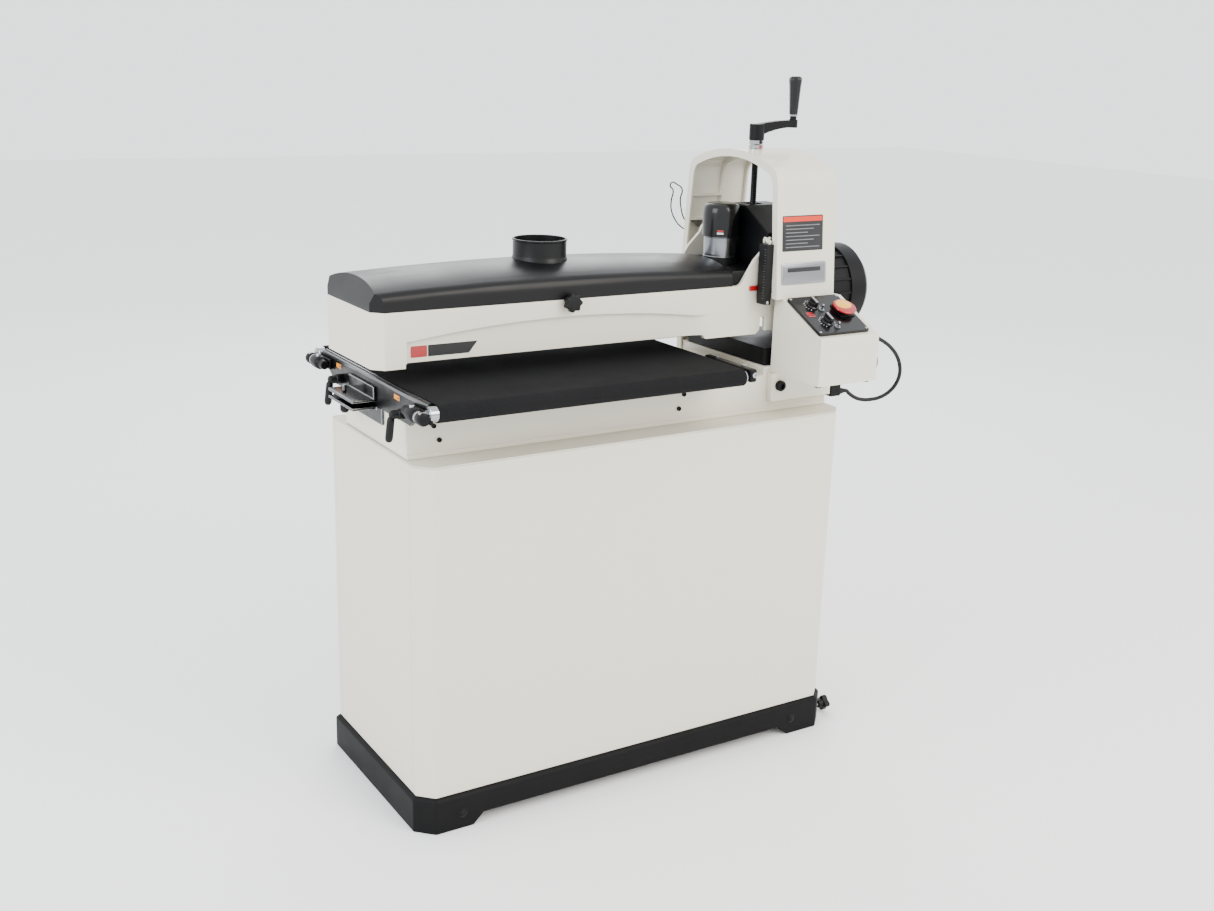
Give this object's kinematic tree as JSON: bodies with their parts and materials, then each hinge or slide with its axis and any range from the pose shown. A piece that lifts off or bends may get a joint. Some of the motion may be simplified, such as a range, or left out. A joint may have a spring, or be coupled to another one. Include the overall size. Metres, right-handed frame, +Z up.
{
  "type": "open-ended oscillating drum sander",
  "caption": "Open-ended drum sander on a closed stand, with a powered conveyor belt, a hinged dust cover, a crank-raised sanding head and a sloping control box.",
  "frame": {"origin": "middle of the machine's footprint on the floor, the loose conveyor lead left out", "axes": "+X along the drum towards its motor, +Y towards the outfeed side, +Z up"},
  "size_m": [1.0837, 0.5276, 1.281],
  "materials": {
    "white_paint": "satin powder coat",
    "black_paint": "satin paint",
    "black_casting": "fine textured paint",
    "belt_cloth": "abrasive-coated cloth",
    "abrasive": "coated abrasive strip",
    "chrome": "polished",
    "steel": "ground",
    "aluminium": "turned",
    "brass": "machined",
    "black_plastic": "moulded",
    "black_rubber": "matte",
    "red_plastic": "glossy"
  },
  "bodies": {
    "stand": {"plinth_base": "black_paint", "stand_front_panel": "white_paint", "stand_left_panel": "white_paint", "stand_right_panel": "white_paint", "stand_rear_panel": "white_paint", "stand_top_plate": "white_paint", "bed_frame": "white_paint", "conveyor_table": "steel", "conveyor_belt": "belt_cloth", "conveyor_side_plate_left": "steel", "conveyor_side_plate_right": "steel", "bearing_block_front_left": "black_plastic", "bearing_block_rear_left": "black_plastic", "bearing_block_front_right": "black_plastic", "bearing_block_rear_right": "black_plastic", "outboard_bracket": "steel", "parallelism_plate": "steel", "column": "black_casting", "shroud": "white_paint", "depth_scale": "black_plastic", "hose_hanger_wire": "steel", "control_box": "white_paint", "control_panel": "black_plastic", "box_bracket": "white_paint", "conveyor_gearmotor": "black_casting", "box_gland": "black_plastic", "gearmotor_gland": "black_plastic", "conveyor_lead": "black_rubber"},
    "crank": {"crank_arm": "black_casting", "elevation_screw": "steel"},
    "grip": {"crank_grip": "black_plastic"},
    "head": {"carriage": "black_casting", "elevation_nut": "brass", "head_housing": "white_paint", "cover_hinge_pin": "steel", "drum_motor": "black_casting", "oscillation_motor": "aluminium", "oscillation_motor_cap": "black_plastic", "depth_pointer": "red_plastic"},
    "cover": {"dust_cover": "black_paint", "dust_port": "black_plastic"},
    "cover_latch": {"cover_knob": "black_plastic"},
    "drum_cartridge": {"outboard_bearing": "steel", "inboard_bearing": "steel"},
    "drum_rotor": {"drum": "aluminium", "abrasive_wrap": "abrasive", "drum_shaft": "steel"},
    "front_pressure_roller": {"pressure_roller_front": "black_rubber"},
    "rear_pressure_roller": {"pressure_roller_rear": "black_rubber"},
    "outfeed_roller": {"drive_roller": "chrome"},
    "infeed_roller": {"take_up_roller": "chrome"},
    "levelling_dial": {"parallelism_dial": "steel"},
    "front_lock": {"lock_lever_front": "black_plastic"},
    "rear_lock": {"lock_lever_rear": "black_plastic"},
    "rear_speed_knob": {"speed_knob_rear": "black_plastic"},
    "front_speed_knob": {"speed_knob_front": "black_plastic"},
    "paddle": {"switch_paddle": "red_plastic"},
    "rear_toggle": {"toggle_rear": "chrome"},
    "front_toggle": {"toggle_front": "chrome"},
    "plinth_star_knob": {"plinth_knob": "black_plastic"}
  },
  "joints": [
    {"name": "crank_turn", "type": "hinge", "parent": "stand", "child": "crank", "pos_m": [0.2935, 0.0082, 1.177], "axis": [0, 0, -1], "range_deg": [-4536, 17690]},
    {"name": "head_lift", "type": "slide", "parent": "stand", "child": "head", "axis": [0, 0, 1], "range_m": [-0.02, 0.078]},
    {"name": "crank_grip_spin", "type": "hinge", "parent": "crank", "child": "grip", "pos_m": [0.3795, 0.0082, 1.243], "axis": [0, 0, 1], "continuous": true},
    {"name": "cover_hinge", "type": "hinge", "parent": "head", "child": "cover", "pos_m": [-0.1775, 0.1257, 0.91], "axis": [-1, 0, 0], "range_deg": [0, 75]},
    {"name": "cover_knob_turn", "type": "hinge", "parent": "head", "child": "cover_latch", "pos_m": [-0.1765, -0.1118, 0.903], "axis": [0, -1, 0], "continuous": true},
    {"name": "drum_oscillation", "type": "slide", "parent": "head", "child": "drum_cartridge", "axis": [1, 0, 0], "range_m": [-0.00635, 0.00635]},
    {"name": "drum_spin", "type": "hinge", "parent": "drum_cartridge", "child": "drum_rotor", "pos_m": [-0.1915, 0.0082, 0.872], "axis": [1, 0, 0], "continuous": true},
    {"name": "front_pressure_spin", "type": "hinge", "parent": "head", "child": "front_pressure_roller", "pos_m": [-0.1915, -0.0758, 0.826], "axis": [1, 0, 0], "continuous": true},
    {"name": "rear_pressure_spin", "type": "hinge", "parent": "head", "child": "rear_pressure_roller", "pos_m": [-0.1915, 0.0922, 0.826], "axis": [1, 0, 0], "continuous": true},
    {"name": "outfeed_roller_spin", "type": "hinge", "parent": "stand", "child": "outfeed_roller", "pos_m": [-0.1965, 0.2488, 0.77], "axis": [1, 0, 0], "continuous": true},
    {"name": "infeed_roller_spin", "type": "hinge", "parent": "stand", "child": "infeed_roller", "pos_m": [-0.1965, -0.2324, 0.77], "axis": [1, 0, 0], "continuous": true},
    {"name": "levelling_dial_turn", "type": "hinge", "parent": "stand", "child": "levelling_dial", "pos_m": [-0.5225, 0.0642, 0.737], "axis": [0, 0, 1], "continuous": true},
    {"name": "front_lock_swing", "type": "hinge", "parent": "stand", "child": "front_lock", "pos_m": [-0.5075, -0.1318, 0.748], "axis": [1, 0, 0], "range_deg": [0, 75]},
    {"name": "rear_lock_swing", "type": "hinge", "parent": "stand", "child": "rear_lock", "pos_m": [-0.5075, 0.1382, 0.748], "axis": [1, 0, 0], "range_deg": [0, 75]},
    {"name": "rear_speed_turn", "type": "hinge", "parent": "stand", "child": "rear_speed_knob", "pos_m": [0.2975, -0.18223, 0.87598], "axis": [0, -0.4455, 0.8953], "range_deg": [-140, 140]},
    {"name": "front_speed_turn", "type": "hinge", "parent": "stand", "child": "front_speed_knob", "pos_m": [0.2975, -0.22718, 0.85362], "axis": [0, -0.4455, 0.8953], "range_deg": [-140, 140]},
    {"name": "paddle_lift", "type": "hinge", "parent": "stand", "child": "paddle", "pos_m": [0.3545, -0.1876, 0.87778], "axis": [-1, 0, 0], "range_deg": [0, 35]},
    {"name": "rear_toggle_flip", "type": "hinge", "parent": "stand", "child": "rear_toggle", "pos_m": [0.3085, -0.19611, 0.8702], "axis": [1, 0, 0], "range_deg": [-12, 12]},
    {"name": "front_toggle_flip", "type": "hinge", "parent": "stand", "child": "front_toggle", "pos_m": [0.3085, -0.24356, 0.84659], "axis": [1, 0, 0], "range_deg": [-12, 12]},
    {"name": "plinth_knob_turn", "type": "hinge", "parent": "stand", "child": "plinth_star_knob", "pos_m": [0.4325, -0.1418, 0.019], "axis": [1, 0, 0], "continuous": true}
  ],
  "couplings": [
    {"joint": "crank_turn", "follows": "head_lift", "rad_per_m": 3957.9},
    {"joint": "infeed_roller_spin", "follows": "outfeed_roller_spin", "ratio": 1}
  ]
}
